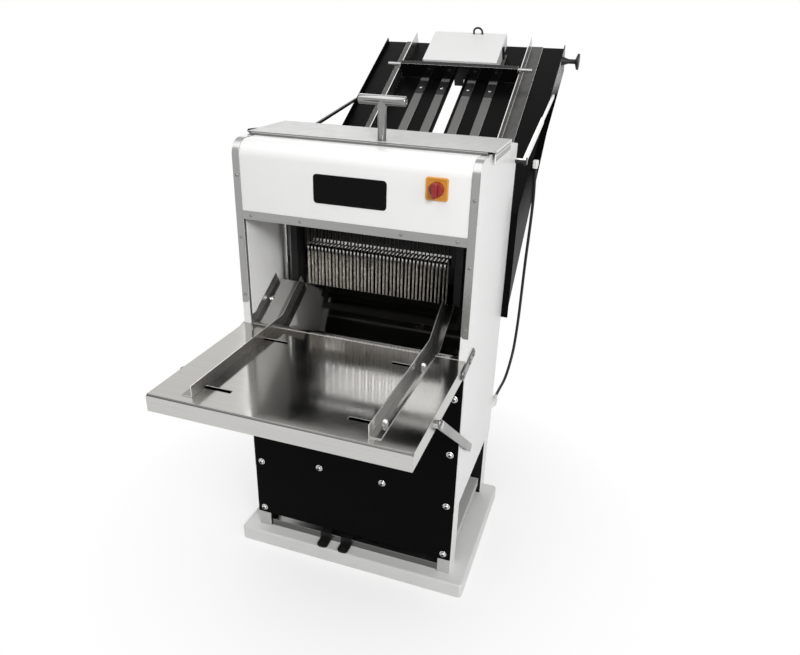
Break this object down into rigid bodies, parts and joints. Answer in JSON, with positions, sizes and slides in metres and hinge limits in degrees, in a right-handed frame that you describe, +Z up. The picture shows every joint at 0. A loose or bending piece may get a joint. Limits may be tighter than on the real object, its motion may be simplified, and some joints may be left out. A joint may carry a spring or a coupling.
{
  "type": "bread slicer machine",
  "caption": "Floor-standing bread slicer: white cabinet with two opposed blade frames, a sloping infeed chute with weighted pusher and a folding steel outfeed table.",
  "frame": {"origin": "centre of the base slab's underside, on the floor", "axes": "+Z up, the mouth and table face -Y, the chute rises towards +Y, +X is on the right seen from the front"},
  "size_m": [0.7664, 1.6771, 1.5328],
  "materials": {
    "base_board": "painted",
    "grey_paint": "satin",
    "white_paint": "satin",
    "black_paint": "satin",
    "satin_steel": "brushed",
    "polished_steel": "polished",
    "bright_metal": "bright",
    "blade_steel": "ground",
    "iron": "painted",
    "motor_housing": "painted",
    "grey_plastic": "matte",
    "black_plastic": "matte",
    "yellow_plastic": "gloss",
    "red_plastic": "gloss",
    "black_rubber": "matte",
    "white_plastic": "matte"
  },
  "bodies": {
    "body": {"base_plate": "base_board", "frame_legs": "grey_paint", "frame_rails": "grey_paint", "front_cross_bar": "satin_steel", "hold_down_clips": "black_plastic", "side_panel_left": "white_paint", "side_panel_right": "white_paint", "front_upper_panel": "white_paint", "front_lower_panel": "black_paint", "lower_panel_bolts": "bright_metal", "rear_panel": "black_paint", "top_lid": "grey_paint", "lid_channel": "satin_steel", "edge_trim_left": "satin_steel", "edge_trim_right": "satin_steel", "opening_trim": "satin_steel", "trim_screws": "bright_metal", "badge_plate": "black_paint", "switch_plate": "yellow_plastic", "switch_body": "black_plastic", "guide_rods": "bright_metal", "blade_beams": "grey_paint", "crank_bearings": "iron", "motor": "motor_housing", "drive_belt": "black_rubber", "drive_shelf": "grey_paint", "outfeed_slide": "polished_steel", "table_brackets": "satin_steel", "stay_studs": "satin_steel", "chute_tray": "black_paint", "chute_sides": "black_paint", "chute_runners": "grey_plastic", "infeed_guides": "satin_steel", "chute_strut": "satin_steel", "chute_stay": "black_paint", "cable": "black_rubber", "cable_glands": "white_plastic"},
    "crank": {"crankshaft": "bright_metal", "crank_pulley": "iron"},
    "motor_rotor": {"motor_pulley": "iron"},
    "front_blades": {"blade_frame_front": "grey_paint", "blades_front": "blade_steel"},
    "rear_blades": {"blade_frame_rear": "grey_paint", "blades_rear": "blade_steel"},
    "switch": {"switch_knob": "red_plastic"},
    "hold_down": {"hold_down_comb": "satin_steel", "t_handle": "satin_steel"},
    "table": {"outfeed_table": "polished_steel"},
    "stay_left": {"table_stay_left": "satin_steel"},
    "stay_right": {"table_stay_right": "satin_steel"},
    "guide_left": {"table_guide_left": "polished_steel", "guide_nuts_left": "bright_metal"},
    "guide_right": {"table_guide_right": "polished_steel", "guide_nuts_right": "bright_metal"},
    "pusher": {"pusher_plate": "black_paint", "pusher_rod": "satin_steel", "weight_box": "white_paint", "weight_handle": "black_plastic", "pusher_latch": "black_plastic"},
    "knob": {"chute_knob": "black_plastic"}
  },
  "joints": [
    {"name": "crank_turn", "type": "hinge", "parent": "body", "child": "crank", "pos_m": [0, -0.026, 0.462], "axis": [1, 0, 0], "range_deg": [-90, 90]},
    {"name": "front_blade_stroke", "type": "slide", "parent": "body", "child": "front_blades", "axis": [0, 0, 1], "range_m": [-0.015, 0.015]},
    {"name": "rear_blade_stroke", "type": "slide", "parent": "body", "child": "rear_blades", "axis": [0, 0, 1], "range_m": [-0.015, 0.015]},
    {"name": "motor_turn", "type": "hinge", "parent": "body", "child": "motor_rotor", "pos_m": [0, -0.026, 0.15], "axis": [1, 0, 0], "range_deg": [-220, 220]},
    {"name": "switch_turn", "type": "hinge", "parent": "body", "child": "switch", "pos_m": [0.22, -0.218, 1.198], "axis": [0, 1, 0], "range_deg": [0, 90]},
    {"name": "hold_down_lift", "type": "slide", "parent": "body", "child": "hold_down", "axis": [0, 0, 1], "range_m": [-0.03, 0.06]},
    {"name": "table_fold", "type": "hinge", "parent": "body", "child": "table", "pos_m": [0, -0.252, 0.7465], "axis": [1, 0, 0], "range_deg": [0, 85]},
    {"name": "stay_left_swing", "type": "hinge", "parent": "table", "child": "stay_left", "pos_m": [-0.33, -0.49, 0.7465], "axis": [1, 0, 0], "range_deg": [0, 40]},
    {"name": "stay_right_swing", "type": "hinge", "parent": "table", "child": "stay_right", "pos_m": [0.33, -0.49, 0.7465], "axis": [1, 0, 0], "range_deg": [0, 40]},
    {"name": "guide_left_set", "type": "slide", "parent": "table", "child": "guide_left", "axis": [1, 0, 0], "range_m": [0, 0.07]},
    {"name": "guide_right_set", "type": "slide", "parent": "table", "child": "guide_right", "axis": [-1, 0, 0], "range_m": [0, 0.07]},
    {"name": "pusher_slide", "type": "slide", "parent": "body", "child": "pusher", "axis": [0, -0.8572, -0.515], "range_m": [-0.02, 0.55]},
    {"name": "knob_turn", "type": "hinge", "parent": "body", "child": "knob", "pos_m": [0.345, 0.9166, 1.42931], "axis": [1, 0, 0], "continuous": true}
  ],
  "couplings": [
    {"joint": "front_blade_stroke", "follows": "crank_turn", "m_per_rad": 0.0095493},
    {"joint": "rear_blade_stroke", "follows": "crank_turn", "m_per_rad": -0.0095493},
    {"joint": "motor_turn", "follows": "crank_turn", "ratio": 2.4407},
    {"joint": "stay_left_swing", "follows": "table_fold", "ratio": 0.43},
    {"joint": "stay_right_swing", "follows": "table_fold", "ratio": 0.43}
  ]
}
